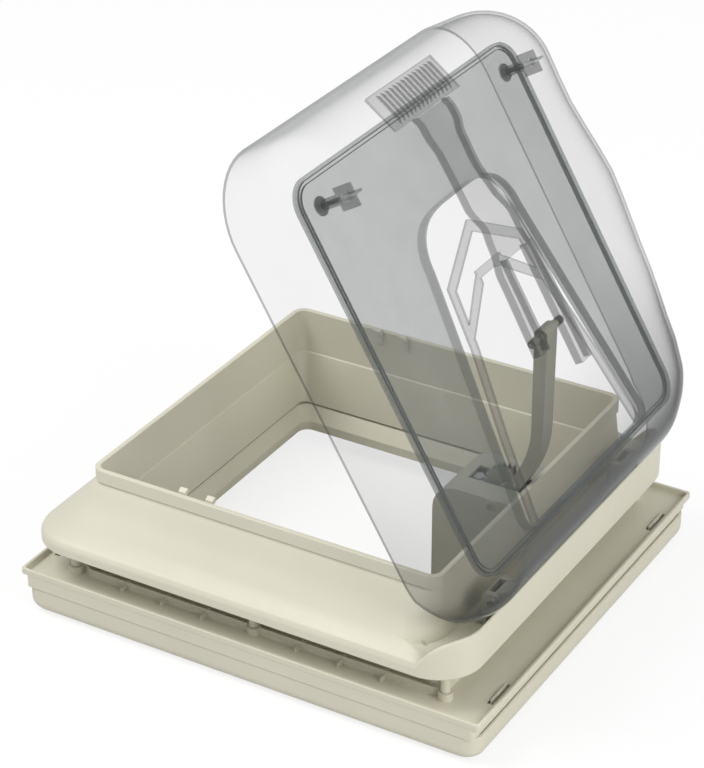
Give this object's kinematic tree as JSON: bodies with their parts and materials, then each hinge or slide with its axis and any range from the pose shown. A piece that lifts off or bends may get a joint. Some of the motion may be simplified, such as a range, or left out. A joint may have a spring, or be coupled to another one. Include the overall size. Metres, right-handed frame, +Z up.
{
  "type": "roof vent cover",
  "caption": "Caravan roof vent: twin-glazed smoked dome hinged on a framed roof opening, raised by a worm-driven lift arm and hand crank.",
  "frame": {"origin": "centre of the opened window's footprint at the underside of the ceiling trim", "axes": "+X towards the hinge side, +Y along the hinge, +Z up through the roof; the dome stands open at its full angle in the rest pose"},
  "size_m": [0.506, 0.454, 0.5404],
  "materials": {
    "cream_abs": "fine satin moulding",
    "smoked_acrylic": "polished, see-through smoke grey",
    "grey_nylon": "satin moulding",
    "grey_seal": "matt",
    "zinc_steel": "zinc plated"
  },
  "bodies": {
    "frames": {"outer_frame": "cream_abs", "ceiling_frame": "cream_abs", "trim_cover": "cream_abs", "clamp_screw_1": "zinc_steel", "clamp_screw_2": "zinc_steel", "clamp_screw_3": "zinc_steel", "clamp_screw_4": "zinc_steel", "clamp_screw_5": "zinc_steel", "clamp_screw_6": "zinc_steel", "rim_hook_1": "cream_abs", "rim_hook_2": "cream_abs", "rim_hook_3": "cream_abs", "rim_hook_4": "cream_abs", "hinge_bracket_near": "grey_nylon", "hinge_pin_near": "zinc_steel", "hinge_bracket_far": "grey_nylon", "hinge_pin_far": "zinc_steel", "gearbox_housing": "grey_nylon", "gearbox_cover": "grey_nylon", "cover_screw_1": "zinc_steel", "cover_screw_2": "zinc_steel", "cover_screw_3": "zinc_steel", "cover_screw_4": "zinc_steel", "arm_shaft": "zinc_steel", "shaft_spacer_near": "grey_nylon", "shaft_spacer_far": "grey_nylon", "worm_bush_lower": "zinc_steel", "worm_bracket": "grey_nylon"},
    "dome": {"dome_shell": "smoked_acrylic", "inner_panel": "smoked_acrylic", "panel_seal": "grey_seal", "spacer_post_1": "smoked_acrylic", "panel_screw_1": "zinc_steel", "spacer_post_2": "smoked_acrylic", "panel_screw_2": "zinc_steel", "guide_rail": "smoked_acrylic", "lift_frame": "smoked_acrylic", "finger_grip": "smoked_acrylic", "hinge_leaf_near": "grey_nylon", "hinge_leaf_far": "grey_nylon"},
    "arm": {"lift_arm": "grey_nylon", "drive_sector": "grey_nylon", "sector_pin": "zinc_steel", "roller_pin": "zinc_steel"},
    "roller_near": {"roller_near": "grey_nylon"},
    "roller_far": {"roller_far": "grey_nylon"},
    "crank": {"worm_shaft": "zinc_steel", "crank_arm": "grey_nylon", "knob_stub": "zinc_steel"},
    "knob": {"crank_knob": "grey_nylon"}
  },
  "joints": [
    {"name": "dome_hinge", "type": "hinge", "parent": "frames", "child": "dome", "pos_m": [0.214, 0, 0.1257], "axis": [0, 1, 0], "range_deg": [-59.4, 0]},
    {"name": "arm_pivot", "type": "hinge", "parent": "frames", "child": "arm", "pos_m": [0.1535, 0, 0.143], "axis": [0, 1, 0], "range_deg": [-85.01, 0]},
    {"name": "crank_turn", "type": "hinge", "parent": "frames", "child": "crank", "pos_m": [0.1195, 0, 0.066], "axis": [0, 0, -1], "range_deg": [-2550.1, 0]},
    {"name": "roller_spin_near", "type": "hinge", "parent": "arm", "child": "roller_near", "pos_m": [0.1836, -0.0178, 0.3204], "axis": [0, 1, 0], "continuous": true},
    {"name": "roller_spin_far", "type": "hinge", "parent": "arm", "child": "roller_far", "pos_m": [0.1836, 0.0178, 0.3204], "axis": [0, 1, 0], "continuous": true},
    {"name": "knob_spin", "type": "hinge", "parent": "crank", "child": "knob", "pos_m": [0.0855, 0, 0.019], "axis": [0, 0, 1], "continuous": true}
  ],
  "couplings": [
    {"joint": "arm_pivot", "follows": "dome_hinge", "ratio": 1.431},
    {"joint": "crank_turn", "follows": "dome_hinge", "ratio": 42.93}
  ]
}
